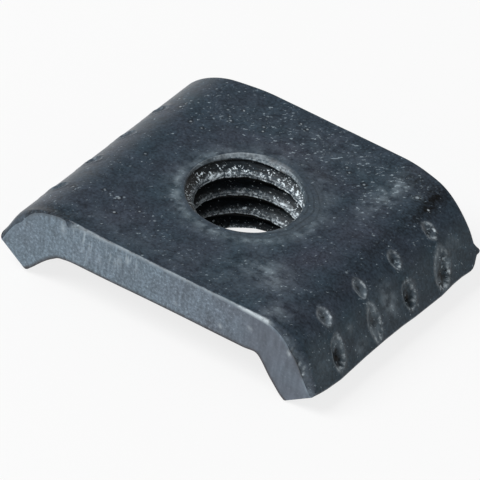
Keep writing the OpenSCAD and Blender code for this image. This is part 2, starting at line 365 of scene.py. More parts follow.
class Nut:
    """Mesh of the nut: a bent grid for the strip and collar, and a helical one for the bore."""

    def __init__(self, sizes, thread, marks):
        self.sizes, self.thread = sizes, thread
        self.strip = Strip(sizes)
        self.low = self.strip.under - sizes.collar_h / MM
        self.high = self.strip.top - LIP_DEPTHS[0]
        self.pitch = thread.pitch / MM
        self.marks = self.place_marks(marks)
        self.rim = self.outline()
        # Turn of each column about the axis, always growing.
        self.turns = []
        for s, y, *_ in self.rim:
            turn = math.atan2(y, s)
            if self.turns:
                turn += 2 * math.pi * (turn < self.turns[-1] - math.pi)
                turn = max(turn, self.turns[-1] + 5e-4)
            self.turns.append(turn)

    # Outline of the flat blank.
    def rear(self, s):
        """Y of the rear edge, which draws in at both wings."""
        if s > 0:
            draw = self.sizes.draw_in / MM * smooth(s, 3.4, 8.2)
        else:
            draw = self.sizes.left_draw_in / MM * smooth(-s, 3.4, 7.6)
        return self.strip.edge_y + 0.03 - draw + 0.012 * wave(s * 0.9, 4.4, 0)

    def outline(self):
        """Points round the edge of the blank, before it is folded.

        Each is (s, y, reach and depth of its upper edge, size of its lower edge).
        """
        front, left = -self.strip.edge_y, self.strip.ends[-1][0]
        rear_left = self.rear(-left)
        tip_r, low = self.strip.tip_r, LOWER_EDGE
        roll_s, roll_reach, roll_deep = zip(*FRONT_ROLL)
        rim = []
        right = RIGHT_END[0][0]
        for p in spread([Vector((-left, front)), Vector(RIGHT_END[0])], FRONT_STEPS):
            low_deep = low + (tip_r - low) * max(bell(p.x + left, 0.25), bell(p.x - right, 0.25))
            rim.append((p.x, front, along(p.x, roll_s, roll_reach), along(p.x, roll_s, roll_deep),
                        low_deep))
        for p in spread([Vector(p) for p in RIGHT_END], RIGHT_STEPS):
            t = smooth(p.y, front, front + 0.6) + smooth(p.y, 4.6, 5.3)
            deep = along(t, (0, 1, 2), (0.2, 0.1, 0.05))
            rim.append((p.x, p.y, deep, deep, tip_r))
        for i, p in enumerate(spread([Vector(p) for p in RIGHT_CORNER], CORNER_STEPS)):
            t = i / CORNER_STEPS
            rim.append((p.x, p.y, 0.05 - 0.02 * t, 0.05 - 0.02 * t, tip_r + (low - tip_r) * t))
        start, start_y = RIGHT_CORNER[-1]
        for i in range(REAR_STEPS):
            s = start + (-left - start) * i / REAR_STEPS
            y = self.rear(s) + (start_y - self.rear(start)) * bell(s - start, 0.5)
            low_deep = low + (tip_r - low) * bell(s + left, 0.25)
            rim.append((s, y, 0.03, 0.03, low_deep))
        for p in spread([Vector((-left, rear_left)), Vector((-left, front))], LEFT_STEPS):
            ripple = 0.05 * wave(p.y * 0.7, 7.7, 0)
            ripple *= smooth(p.y, front, front + 1) * smooth(-p.y, -rear_left, 1 - rear_left)
            t = smooth(rear_left - p.y, 0, 0.5) + smooth(-p.y, -front - 0.6, -front)
            deep = along(t, (0, 1, 2), (0.03, 0.15, 0.2))
            rim.append((p.x + ripple, p.y, deep, deep, tip_r))
        return rim

    # Relief of the outer face.
    def place_marks(self, m):
        """The punch marks of both wings. No two are quite alike."""
        upper, lower = m.upper_s / MM, m.lower_s / MM
        u = m.upper_len / MM / 2, m.upper_w / MM / 2, m.upper_deep / MM
        w = m.lower_len / MM / 2, m.lower_w / MM / 2, m.lower_deep / MM
        marks = [
            Mark(upper - 0.04, 3.8, u[0] * 0.95, u[1], u[2], 0.3, 0.035, seed=1),
            Mark(upper, 1.0, u[0] * 0.97, u[1] * 0.95, u[2] * 1.1, 0.33, 0.035, seed=2),
            Mark(upper + 0.02, -1.75, u[0], u[1], u[2], 0.25, 0.035, seed=3),
            Mark(upper + 0.03, -4.52, u[0], u[1] * 1.05, u[2] * 1.1, 0.25, 0.035, seed=4),
            Mark(lower + 0.05, 3.5, w[0] * 1.14, w[1] * 1.3, w[2] * 0.65, 0.3, 0.05, (0.3, 0.1), 5),
            Mark(lower, 0.87, w[0] * 0.78, w[1] * 1.02, w[2], 0.1, 0.07, (0.2, 0), 6),
            Mark(lower, -1.87, w[0], w[1] * 1.05, w[2] * 0.55, 0, 0.045, (-0.1, 0), 7),
            Mark(lower + 0.02, -4.72, w[0] * 0.98, w[1], w[2], 0.18, 0.06, (0.25, 0), 8),
        ]
        for i, y in enumerate((-4.56, -1.9, 0.74, 3.3)):
            marks.append(Mark(-upper - 0.12, y, u[0], u[1], u[2], 0.25, 0.05, seed=11 + i))
            marks.append(Mark(-lower, y, w[0], w[1], w[2] * 0.9, 0.1, 0.05, (0.2, 0), 15 + i))
        return marks

    def relief(self, s, y):
        """Height of the outer face above the plain bent strip, in millimetres."""
        height = 0.016 * wave(s / 3.1, y / 3.1, 5.2)
        height += 0.005 * wave(s / 0.9, y / 0.9, 1.7)
        height += 0.0025 * wave(s / 0.3, y / 0.3, 3.3)
        # The face dips behind the hump of the sheared edge.
        height -= 0.035 * bell(y + 6.6, 0.3) * between(s, -8.0, -7.2, -5.4, -4.9)
        for mark in self.marks:
            if mark.near(s, y):
                height += mark.height(s, y)
        for ds, dy, size, _ in DENTS:
            if abs(s - ds) < 0.3 and abs(y - dy) < 0.3:
                height -= 0.15 * size * bell(math.hypot(s - ds, y - dy), 0.7 * size)
        return height

    def skin(self, s, y):
        """Point of the finished outer face."""
        point, normal = self.strip.outer(s)
        point = point + normal * self.relief(s, y)
        return Vector((point.x, y, point.y))

    def under(self, q, y):
        """Point of the inner face, which sags a little to the left."""
        point, normal = self.strip.inner(q)
        sag = 0.012 + 0.05 * between(q, -6.6, -5.2, -4, 1)
        sag -= 0.07 * between(q, 4.6, 5.3, 5.6, 6.6)
        sag += 0.1 * bell(q + self.strip.arch_x + self.strip.bend_len / 2, 0.5)
        sag += 0.01 * wave(q / 2.0, y / 2.0, 9.1)
        point = point + normal * sag
        return Vector((point.x, y, max(point.y, 0.004)))

    # Edge of the strip.
    def edge_points(self):
        """Points of the rolled edge, of the sheared side and of the lower edge, by column."""
        flat = [Vector((s, y)) for s, y, *_ in self.rim]
        low = [Vector((self.strip.matching_q(s), y)) for s, y, *_ in self.rim]
        columns = []
        for i, (s, y, reach, deep, low_deep) in enumerate(self.rim):
            face_at = flat[i] + self.inward(flat, i) * reach
            low_at = low[i] + self.inward(low, i) * low_deep
            corner_2d, _ = self.strip.outer(s)
            corner = Vector((corner_2d.x, y, corner_2d.y))
            lower = self.under(*low[i])
            down = (lower - corner).normalized()
            columns.append({
                "place": face_at, "face": self.skin(*face_at), "corner": corner,
                "side": corner + down * deep, "low_side": lower - down * low_deep,
                "lower": lower, "low_face": self.under(*low_at), "low_place": low_at,
                "into": self.inward(flat, i), "s": s, "y": y})
        return columns

    def inward(self, points, i):
        """Direction into the face from the i-th point of its outline."""
        ahead = points[(i + 1) % len(points)] - points[i - 1]
        return Vector((-ahead.y, ahead.x)).normalized()

    def shear_marks(self, column, t):
        """How far the sheared side stands in, at the share t of its height."""
        s, y = column["s"], column["y"]
        z = t * self.sizes.strip_t / MM
        depth = 0.008 * wave(s * 1.9, y * 1.9, z * 2.4)
        depth += 0.012 * wave(s * 0.6, y * 0.6, z)
        if y < -6.9:  # drag lines from the shears, and a crease along the right-hand fold
            depth += (0.012 * wave(s * 7, z * 1.1, 3) * between(s, -5.4, -4.8, -2.5, -1.5)
                      * bell(t, 0.45))
            depth += 0.05 * between(s, 7.2, 7.6, 8.6, 9.0) * bell(t - 0.04, 0.07)
        return depth * smooth(t, 0, 0.06) * smooth(1 - t, 0, 0.06)

    # The bore.
    def over_crest(self, turn, z):
        """Height above the lower edge of the nearest crest below, up to one pitch."""
        t = self.thread
        crest_low = self.strip.top - t.start_z / MM + self.pitch * (turn - t.start) / (2 * math.pi)
        return (z - crest_low) % self.pitch

    def thread_radius(self, turn, z):
        """Radius of the threaded wall at a turn about the axis and a height."""
        t = self.thread
        crest_r, root_r, crest_w = (v / MM for v in (t.crest_r, t.root_r, t.crest_w))
        up = self.over_crest(turn, z)
        if up < crest_w:
            return crest_r
        off = min(up - crest_w, self.pitch - up)
        return min(crest_r + off * math.sqrt(3), root_r)

    def mouth_edge(self, turn):
        """Radius at which the mouth meets the face."""
        return along(math.degrees(turn) % 360, MOUTH_TURNS, MOUTH_RADII) / MOUTH_R * (
            self.thread.mouth_r / MM)

    def mouth_low(self, turn):
        """Height of the lower end of the mouth."""
        return self.strip.top - self.thread.mouth_deep / MM * along(
            math.degrees(turn) % 360, MOUTH_TURNS, MOUTH_DEPTHS)

    def mouth_radius(self, turn, z):
        """Radius of the mouth at a height, with the cone that the tool left under it."""
        low = self.mouth_low(turn)
        low_r = along(math.degrees(turn) % 360, MOUTH_TURNS, MOUTH_LOWS)
        if z < low:
            return low_r - (low - z)
        over = min((z - low) / (self.strip.top - low), 1)
        part = 0.65 * over + 0.35 * (1 - math.sqrt(1 - over * over))
        return low_r + (self.mouth_edge(turn) - low_r) * part

    def bore_radius(self, turn, z):
        """Radius of the bore, with its torn crests, its rounded mouth and its lower chamfer."""
        radius, crest_r = self.thread_radius(turn, z), self.thread.crest_r / MM
        wall = self.on_axis(turn, crest_r, z)
        torn = 0.05 * noise.noise(wall * 1.9) + 0.04 * noise.noise(wall * 4.7)
        radius += torn * along(radius, (crest_r, crest_r + 0.5), (1, 0.2))
        # The thread starts below the mouth.
        mouth_r = self.mouth_radius(turn, z)
        radius = max(min(radius, mouth_r + 4 * max(self.mouth_low(turn) - z, 0)), mouth_r)
        return max(radius, crest_r + self.low + self.sizes.chamfer / MM - z)

    def on_axis(self, turn, r, z):
        return Vector((r * math.cos(turn), r * math.sin(turn), z))

    def strip_rings(self):
        """Rings of points from the mouth of the bore over the strip, under it and up to the bore.

        Each ring is its zone and, for each column, the point and its place for the finish.
        """
        strip, sizes = self.strip, self.sizes
        collar_r, root_r, chamfer = sizes.collar_r / MM, sizes.root_r / MM, sizes.chamfer / MM
        columns = list(zip(self.turns, self.edge_points()))
        rings = []

        def ring(zone, make, *values):
            rings.append((zone, [make(turn, column, *values) for turn, column in columns]))

        def mouth(turn, c, deep):
            z = strip.top - deep
            point = self.on_axis(turn, self.bore_radius(turn, z), z)
            fade = 1 - deep / LIP_DEPTHS[0]
            point.z += self.relief(*(self.mouth_edge(turn) * direction(turn))) * fade
            return point, (turn, z)

        def skin(turn, c, t):
            place = (self.mouth_edge(turn) * direction(turn)).lerp(c["place"], t)
            return self.skin(*place), place

        def rounded(c, corner, start, end, a):
            """Point of a quarter round in the corner between two points."""
            return (c[corner] + (c[start] - c[corner]) * (1 - math.sin(a))
                    + (c[end] - c[corner]) * (1 - math.cos(a)))

        def side(turn, c, t):
            point = c["side"].lerp(c["low_side"], t)
            if abs(c["into"].y) > 0.9:
                point.y += c["into"].y * self.shear_marks(c, t)
            return point, (c["s"], t)

        def under(turn, c, t):
            place = c["low_place"].lerp((collar_r + root_r) * direction(turn), t)
            return self.under(*place), place

        for deep in LIP_DEPTHS:
            ring("mouth", mouth, deep)
        for i in range(FACE_ROWS + 1):
            ring("skin", skin, i / FACE_ROWS)
        for i in range(1, ROLL_ROWS + 1):
            ring("roll", lambda turn, c, a: (rounded(c, "corner", "face", "side", a), (c["s"], a)),
                 math.pi / 2 * i / ROLL_ROWS)
        for i in range(1, SIDE_ROWS + 1):
            ring("side", side, i / SIDE_ROWS)
        for i in range(1, TIP_ROWS + 1):
            ring("side", lambda turn, c, a: (rounded(c, "lower", "low_side", "low_face", a),
                                             (c["s"], 1)), math.pi / 2 * i / TIP_ROWS)
        for i in range(1, UNDER_ROWS + 1):
            ring("under", under, i / UNDER_ROWS)
        for r, z in ((collar_r + root_r * 0.97, strip.under - 0.04),
                     (collar_r + root_r * 0.5, strip.under - root_r * 0.5),
                     (collar_r + 0.02, strip.under - root_r), (collar_r, strip.under - 0.6),
                     (collar_r, self.low + chamfer + 0.03), (collar_r - 0.01, self.low + chamfer),
                     (collar_r - chamfer, self.low), (collar_r - chamfer - 0.03, self.low),
                     (3.2, self.low)):
            ring("collar", lambda turn, c, r, z: (self.on_axis(turn, r, z), (turn, r)), r, z)
        ring("thread", lambda turn, c: (
            self.on_axis(turn, self.bore_radius(turn, self.low), self.low), (turn, self.low)))
        return rings

    def bore_rings(self):
        """Rings that climb with the thread, and are held back at both ends of the bore."""
        pitch = self.pitch
        first = self.low - 2 * pitch
        crest_low = (self.strip.top - self.thread.start_z / MM
                     - pitch * self.thread.start / (2 * math.pi))
        base = crest_low - pitch * math.ceil((crest_low - first) / pitch)
        # The bore's columns go in order of turn, so that the helix climbs from first to last.
        turns = sorted(self.turns)
        turns.append(turns[0] + 2 * math.pi)
        rings = []
        for k in range(2 + math.ceil((self.high - first) / pitch)):
            for part in HELIX:
                points = []
                for turn in turns:
                    z = base + pitch * (k + part) + pitch * turn / (2 * math.pi)
                    z = min(max(z, self.low), self.high)
                    points.append((self.on_axis(turn, self.bore_radius(turn, z), z), (turn, z)))
                rings.append(("thread", points))
        return rings

    def build(self, wear):
        """The closed mesh, with its zones as material indices and its finish as layers."""
        bm = bmesh.new()
        places = [bm.verts.layers.float.new(name) for name in PLACES]
        masks = [bm.verts.layers.float.new(name) for name in Wear.MASKS]
        columns = len(self.turns)
        for rings in self.strip_rings(), self.bore_rings():
            verts = bmesh.ops.create_grid(
                bm, x_segments=columns, y_segments=len(rings) - 1, size=1)["verts"]
            bm.verts.index_update()
            for i, vert in enumerate(verts):
                zone, points = rings[i // (columns + 1)]
                vert.co, place = points[i % (columns + 1) % len(points)]
                if zone == "skin":
                    for layer, value in zip(places, (*place, 1)):
                        vert[layer] = value
                for mask, value in zip(masks, wear.at(zone, vert.co, place)):
                    vert[mask] = value
            first = verts[0].index
            for face in {face for vert in verts for face in vert.link_faces}:
                row = (min(v.index for v in face.verts) - first) // (columns + 1)
                face.material_index = SLOTS[rings[row + 1][0]]
        bmesh.ops.remove_doubles(bm, verts=bm.verts, dist=1e-4)
        bmesh.ops.dissolve_degenerate(bm, edges=bm.edges, dist=1e-5)
        return bm

    def refine(self, bm, wear):
        """Finer mesh at the punch marks and dents, laid back on the finished outer face."""
        across, along_y, on_skin = (bm.verts.layers.float[name] for name in PLACES)
        masks = [bm.verts.layers.float[name] for name in Wear.MASKS]

        def near_dent(s, y):
            return any(abs(s - ds) < size + 0.12 and abs(y - dy) < size + 0.12
                       for ds, dy, size, _ in DENTS)

        def at_mark(s, y):
            return any(mark.near(s, y) and mark.place(s, y)[2] < 1.35 for mark in self.marks)

        def at_dent(s, y):
            return any(math.hypot(s - ds, y - dy) < size + 0.08 for ds, dy, size, _ in DENTS)

        for cuts, wanted in (1, near_dent), (2, at_mark), (1, at_dent):
            edges = set()
            for face in bm.faces:
                if all(v[on_skin] == 1 for v in face.verts):
                    s = sum(v[across] for v in face.verts) / len(face.verts)
                    y = sum(v[along_y] for v in face.verts) / len(face.verts)
                    if wanted(s, y):
                        edges.update(face.edges)
            bmesh.ops.subdivide_edges(bm, edges=list(edges), cuts=cuts, use_grid_fill=True)
        for vert in bm.verts:
            if vert[on_skin] > 0.999:
                s, y = vert[across], vert[along_y]
                vert.co = self.skin(s, y)
                for mask, value in zip(masks, wear.at("skin", vert.co, (s, y))):
                    vert[mask] = value


# ---------------------------------------------------------------- wear

# Soft blots as (s, y, half length, half width, strength).
HAZE = ((4.5, 4.2, 0.55, 1.9, 0.3), (4.7, 5.2, 0.28, 0.4, 0.4), (4.7, 3.7, 0.25, 0.4, 0.3),
        (3.7, -4.1, 1.2, 0.8, 0.34), (4.4, -4.5, 0.35, 0.4, 0.3), (5.7, -6.35, 0.45, 0.6, 0.45),
        (5.6, 4.9, 0.2, 0.2, 0.5), (8.5, -0.5, 0.7, 0.42, 0.6), (9.4, -3.1, 0.25, 0.45, 0.36),
        (8.4, -3.5, 0.2, 0.2, 0.36), (8.4, 4.6, 0.5, 0.5, 0.2), (-2.0, -6.1, 4.0, 0.9, 0.06),
        (3.5, -5.5, 3.0, 1.5, 0.06), (9.0, -5.9, 0.8, 0.9, 0.1), (1.0, 5.0, 4.0, 1.3, 0.07))
SPECKS = ((4.5, 4.2, 0.7, 1.8, 0.8), (-0.8, 5.1, 4.6, 1.6, 1.0), (3.4, 5.0, 1.6, 1.6, 0.6),
          (-5.2, 3.6, 1.2, 1.5, 0.5), (-4.0, -4.1, 1.5, 0.35, 0.8), (-5.3, -0.6, 0.5, 0.6, 0.35),
          (-6.2, -4.8, 0.4, 0.8, 0.6), (0.0, -5.9, 6.0, 0.9, 0.35), (4.0, -4.0, 1.5, 1.0, 0.3),
          (8.9, 4.2, 0.7, 1.2, 0.6), (8.8, -0.4, 0.8, 0.5, 0.5), (7.2, 2.3, 0.8, 0.6, 0.3),
          (3.6, 1.0, 0.8, 2.5, 0.35))
WARM = ((4.6, 0.0, 1.6, 3.4, 0.9), (-0.5, 3.6, 2.5, 0.7, 0.7), (5.7, -6.0, 0.8, 1.0, 0.8),
        (-2.8, -5.4, 1.5, 1.2, 0.4), (6.9, -1.0, 0.5, 3.0, 0.6), (-3.0, 2.0, 1.4, 1.8, 0.4))
# Dark blots for the pit mask: the long ones down the right-hand fold, at s 6.2 to 6.5, and the one
# behind the hump at the front left are painted shade.
DARK = ((6.35, 4.6, 0.42, 1.6, 0.6), (6.5, -2.5, 0.45, 4.2, 0.22), (6.2, 1.6, 0.4, 2.0, 0.25),
        (-6.2, -6.7, 1.2, 0.42, 0.5), (4.9, 6.0, 1.0, 0.6, 0.4), (6.0, 5.6, 0.5, 0.8, 0.4),
        (1.5, 3.5, 1.0, 0.3, 0.3))
# Blots on the sheared front as (x, z, half width, half height, strength).
SHEAR_BLOTS = ((7.03, 2.66, 0.1, 0.14, 1.0), (7.86, 1.9, 0.08, 0.08, 0.5),
               (8.0, 1.62, 0.09, 0.1, 0.6), (-7.25, 2.72, 0.09, 0.16, 0.8),
               (3.4, 2.3, 0.09, 0.09, 0.6), (-5.15, 3.3, 0.1, 0.3, 0.4),
               (-2.1, 3.0, 0.07, 0.3, 0.35), (4.9, 2.9, 0.12, 0.1, 0.35),
               (1.0, 2.3, 0.12, 0.1, 0.25))
# Knocks on the rolled edge as (s, turn round the roll).
ROLL_KNOCKS = (8.25, 1.2), (8.5, 1.0), (8.75, 1.25), (7.5, 1.3)
# Small bright dents as (s, y, radius, strength).
DENTS = ((-3.9, 5.1, 0.06, 0.7), (-2.5, 4.65, 0.07, 0.6), (-2.35, 4.35, 0.06, 0.8),
          (-4.1, 4.3, 0.06, 0.6), (-3.9, 4.05, 0.07, 0.6), (-1.4, 6.0, 0.06, 0.7),
          (-0.95, 5.85, 0.07, 0.8), (2.0, 4.65, 0.06, 0.6), (2.3, 4.4, 0.06, 0.6),
          (3.3, 4.1, 0.08, 0.6), (-5.2, 2.8, 0.07, 0.6), (-4.55, 2.7, 0.06, 0.5),
          (-6.9, 4.3, 0.06, 0.6), (-6.3, 3.55, 0.07, 0.7), (-6.22, 3.85, 0.05, 0.5),
          (-4.25, -4.1, 0.09, 0.8), (-3.8, -5.1, 0.08, 0.8), (-5.1, -4.0, 0.06, 0.6),
          (6.42, 4.65, 0.07, 1.0), (5.6, 4.9, 0.09, 0.6), (-6.4, -4.6, 0.08, 0.5),
          (-3.0, -4.3, 0.06, 0.5), (-5.3, -0.6, 0.06, 0.5), (9.45, 3.1, 0.05, 0.4),
          (8.62, 3.82, 0.07, 0.9), (9.63, 3.12, 0.08, 0.9), (9.25, 3.88, 0.07, 0.7),
          (7.2, 4.08, 0.06, 0.7), (7.28, 3.62, 0.07, 0.8))


class Wear:
    """Where the finish is hazy, specked, warm or cool, dark with soiling and painted shade, or worn
    through and lit with painted highlights.
    """
    MASKS = "haze_and_highlight", "speck", "warm", "pit", "bright"

    def __init__(self, nut):
        self.nut = nut

    def at(self, zone, point, place):
        """The masks at a point of a zone, by its place there."""
        return getattr(self, zone)(point, *place)

    def skin(self, point, s, y):
        rough = 0.5 + 0.5 * wave(s * 3.1, y * 3.1, 8)
        mild = 0.5 + 0.5 * wave(s * 0.8, y * 0.8, 4)
        haze_and_highlight = clouds(HAZE, s, y) * (0.55 + 0.9 * rough)
        speck = 0.1 - 0.07 * smooth(abs(s), 6, 7) + clouds(SPECKS, s, y) * (0.25 + 0.9 * mild)
        warm = clouds(WARM, s, y) - 0.75 * smooth(abs(s), 7.4, 8.2) - 0.2 + 0.9 * (mild - 0.5)
        pit = clouds(DARK, s, y)
        bright = 0.0
        # A pale ring round the mouth, strongest at the front, is a painted highlight on the mouth's
        # rounded rim, and partly metal that the tool wore.
        r = math.hypot(s, y)
        if r < 4.4:
            turn = math.atan2(y, s)
            ring = bell(r - 3.32, 0.2) * (0.6 + 0.4 * math.cos(turn + 1.9))
            haze_and_highlight += (0.42 * ring + 0.1 * bell(r - 3.6, 0.4)) * (0.5 + rough)
            warm -= 0.5 * ring
        # Each mark gets a dark core, painted shade in its pit, and a pale rim, brightest on the
        # side to which the punch pushed the metal: painted highlight where the rim catches the
        # lamp, and partly torn metal. worn weakens the rim and the specks on the left-hand wing.
        for mark in self.nut.marks:
            if mark.near(s, y):
                a, b, ring = mark.place(s, y)
                off = math.hypot(a - mark.core[0], b - mark.core[1])
                ragged = wave(s * 6, y * 6, mark.seed)
                torn = smooth(ragged + 0.5 * wave(s * 15, y * 15, mark.seed), -0.15, 0.5)
                deep = smooth(mark.deep, 0.08, 0.2)
                worn = 1 if mark.s > 0 else 0.3
                pit += (0.38 + 0.8 * deep) * bell(off + 0.25 * ragged, 0.48)
                haze_and_highlight += (worn * (0.46 - 0.12 * deep) * bell(max(ring - 0.8, 0), 0.24)
                         * (0.25 + rough))
                speck += 0.9 * worn * bell(ring, 1.1)
                bright += (worn * (0.12 + torn * (0.1 + 0.85 * mark.lee(a, b, ring)))
                           * bell(ring - 1.0 + 0.15 * ragged, 0.15))
        for ds, dy, size, strength in DENTS:
            if abs(s - ds) < 0.4 and abs(y - dy) < 0.4:
                off = math.hypot(s - ds, y - dy) / size / (0.8 + 0.5 * rough)
                bright += 0.75 * strength * smooth(-off, -0.95, -0.4)
                pit += 0.5 * bell(off - 1.5, 0.5)
        return haze_and_highlight, speck, warm, min(pit, 1), min(bright, 1)

    def roll(self, point, s, a):
        """The rolled edge: at the front it is bright, a painted highlight partly worn through at s
        4 to 6, with painted shade in a dark crease at both folds.
        """
        if point.y > -6.5:
            return 0.12, 0.2, -0.3, 0.1, 0.12
        rough = 0.5 + 0.5 * wave(s * 2.6, a, 1)
        flat, right = between(s, -5.0, -4.2, 5.2, 6.2), smooth(s, 5.8, 6.8)
        # The worn zone at s 4 to 6 is also a painted highlight of the lamp on the rounded edge; the
        # bright along the whole front is the same painted highlight.
        rubbed_and_highlight = bell(a - 1.25, 0.7) * between(s, 4.0, 4.5, 5.6, 6.1)
        rubbed_and_highlight *= max(0.4, 0.95 + 1.2 * wave(s * 4.5, 2, 6))
        knocks = sum(bell(math.hypot(s - ks, 0.3 * (a - ka)), 0.045) for ks, ka in ROLL_KNOCKS)
        bright = flat * bell(a - 1.35, 0.6) * (0.1 + 0.5 * rough) + rubbed_and_highlight * (0.8 + 0.5 * rough)
        bright += 0.45 * knocks
        haze_and_highlight = (0.12 + 0.1 * right) * math.sin(a) + 0.2 * rubbed_and_highlight
        haze_and_highlight += 0.3 * between(s, -5.0, -4.6, 4.2, 5.2) + 0.2 * flat * bell(a - 0.9, 0.5)
        # Painted shade: in the dip behind the hump, and in the crease along the right-hand fold.
        pit = 0.45 * between(s, -7.6, -7.2, -5.3, -4.9)
        pit += 0.7 * between(s, 7.2, 7.5, 8.8, 9.2) * bell(a - 1.55, 0.3)
        return haze_and_highlight, 0.2, 0.2 * right, min(pit, 1), min(bright, 1)

    def side(self, point, s, t):
        """The sheared edge, with a brown line along its lower border that is painted shade under
        the edge.

        Its haze is where the shears dragged pale streaks down.
        """
        x, z = point.x, point.z
        warm = smooth(x, -1.5, 6) + 0.5 * wave(x * 0.5, point.y, z * 0.6)
        # Painted shade: the dark line along the lower border, under the edge.
        pit = 0.8 * smooth(t, 0.95, 1.0)
        bright = 0.0
        if point.y < -6.5:
            # line is a painted highlight along the upper border, where the rolled edge catches the
            # lamp.
            line = bell(t, 0.035) * between(s, -5.0, -4.2, 5.0, 6.0)
            bright += line * (0.3 + 0.3 * wave(s * 2.6, 0, 1)) + clouds(SHEAR_BLOTS, x, z)
            # Painted shade in the crease at the right-hand fold.
            pit += 0.8 * between(s, 7.2, 7.5, 8.8, 9.2) * bell(t, 0.05)
            pit += 0.5 * bell(math.hypot(x + 8.2, z - 1.2), 0.16)
        speck = 1 - 0.75 * smooth(x, 3, 6)
        streak = (0.25 + 0.75 * smooth(-t, -0.65, -0.1)) * between(s, -5.6, -4.6, -2.0, -0.5)
        return streak, speck, warm, min(pit, 1), min(bright, 1)

    def mouth(self, point, turn, z):
        """The mouth is pale at the back, lighter turned metal and painted light where it faces the
        lamp, and towards the right only low down.
        """
        top, low = self.nut.strip.top, self.nut.mouth_low(turn)
        if z < low:
            return self.thread(point, turn, z)
        rough = 0.5 + 0.5 * noise.noise(point * 2.2)
        past = math.degrees(turn) % 360
        deep = (top - z) / (top - low)
        right = smooth(-past, -118, -98)
        lit = (0.6 * bell(past - 82, 26) + 0.34 * bell(past - 135, 36)) * (
            1 - right * (1 - smooth(deep, 0.3, 0.5)))
        bright = lit * (0.3 + 0.8 * rough + 0.7 * noise.noise(point * 6.5))
        bright += 0.4 * rough * (bell(deep, 0.14) + bell(deep - 1, 0.14)) * smooth(past, 100, 140)
        # The parts of the mouth away from the lamp get a little painted shade.
        return 0.14 + 0.5 * lit, 0.5, -0.2, 0.15 * (1 - lit), bright

    def thread(self, point, turn, z):
        """Crests and upward flanks hold dry dust; the rest is painted dark as shade, with an oily
        brown tint at one side.
        """
        if z >= self.nut.mouth_low(turn):
            haze_and_highlight, speck, warm, pit, bright = self.mouth(point, turn, z)
            return haze_and_highlight, speck, warm, pit, 0.5 * bright
        up = self.nut.over_crest(turn, z)
        rough = 0.5 + 0.5 * noise.noise(point * 3.0)
        past = math.degrees(turn) % 360
        # The left wall is painted darker and the right and back paler: painted shade and light, as
        # from a lamp at the front left.
        right = max(smooth(-past, -115, -60), smooth(past, 300, 340))
        left = smooth(past, 130, 190)
        crest = between(up, -0.01, 0.02, 0.2, 0.26)
        flank = between(up, 0.18, 0.24, 0.42, 0.6)
        lines = bell(up - 0.025, 0.032) + 0.6 * bell(up - 0.195, 0.03)
        patch = smooth(noise.noise(point * 1.3 + Vector((3.7, 0, 0))), 0.1, 0.4)
        haze_and_highlight = crest * (0.04 + 0.2 * rough + 0.35 * patch) * (1 - 0.8 * left)
        haze_and_highlight += 0.1 * flank * right
        first = smooth(z, self.nut.high - 1.1, self.nut.high - 0.8)
        speck = crest * (0.7 - 0.35 * left) + flank * (0.5 + 0.22 * right + 0.2 * first)
        bright = lines * (0.3 + 1.3 * rough) * (0.95 - 0.4 * left)
        bright += 0.75 * crest * patch * (1 - 0.7 * left)
        # pit paints the grooves and downward flanks near black, most on the left wall: painted
        # shade.
        pit = 1 - crest * (0.85 - 0.35 * left) - flank * (0.36 + 0.12 * right - 0.3 * left)
        warm = bell(turn % (2 * math.pi) - 4.3, 0.4)
        return haze_and_highlight, speck, warm, pit, bright

    def under(self, point, q, y):
        return 0.12 + 0.1 * noise.noise(point * 0.7), 0.3, -0.2, 0.0, 0.0

    def collar(self, point, turn, r):
        rough = 0.5 + 0.5 * noise.noise(point * 1.5)
        end = bell(point.z - self.nut.low, 0.1)
        return 0.2 * rough, 0.3, 0.0, 0.2 * (1 - rough), 0.25 * rough * end


def finished_object(name, bm, materials):
    """The mesh as an object at the origin, in metres, smooth but for its sharp edges."""
    bmesh.ops.recalc_face_normals(bm, faces=bm.faces)
    bmesh.ops.scale(bm, verts=bm.verts, vec=(MM, MM, MM))
    for face in bm.faces:
        face.smooth = True
    for edge in bm.edges:
        edge.smooth = edge.calc_face_angle(0) < math.radians(38)
    mesh = bpy.data.meshes.new(name)
    bm.to_mesh(mesh)
    bm.free()
    for material in materials:
        mesh.materials.append(material)
    obj = bpy.data.objects.new(name, mesh)
    bpy.context.scene.collection.objects.link(obj)
    return obj


# ---------------------------------------------------------------- materials

def fill(tree, node, *inputs, **settings):
    """Gives a node its inputs, in order, and then its settings.

    A setting is one of the node's properties, or an input by its name or as i and its number. A
    node given as a value stands for its first output.
    """
    inputs = dict(enumerate(inputs))
    for name, value in settings.items():
        if hasattr(node, name):
            setattr(node, name, value)
        else:
            inputs[int(name[1:]) if name[1:].isdigit() else name.replace("_", " ")] = value
    for key, value in inputs.items():
        if isinstance(value, bpy.types.Node):
            value = value.outputs[0]
        if isinstance(value, bpy.types.NodeSocket):
            tree.links.new(value, node.inputs[key])
        else:
            node.inputs[key].default_value = value


def add(tree, kind, *inputs, **settings):
    """Adds a node, with its inputs, settings and links as for fill."""
    node = tree.nodes.new("ShaderNode" + kind)
    fill(tree, node, *inputs, **settings)
    return node


def rgba(c, scale=1):
    return (c[0] * scale, c[1] * scale, c[2] * scale, 1)


def new_material(name):
    """A material with its shader, the place on the piece, and the piece's wear masks."""
    material = bpy.data.materials.new(name)
    material.use_nodes = True
    tree = material.node_tree
    place = add(tree, "TexCoord").outputs["Object"]
    masks = {mask: add(tree, "Attribute", attribute_name=mask).outputs["Fac"]
             for mask in Wear.MASKS}
    return material, tree, tree.nodes["Principled BSDF"], place, masks


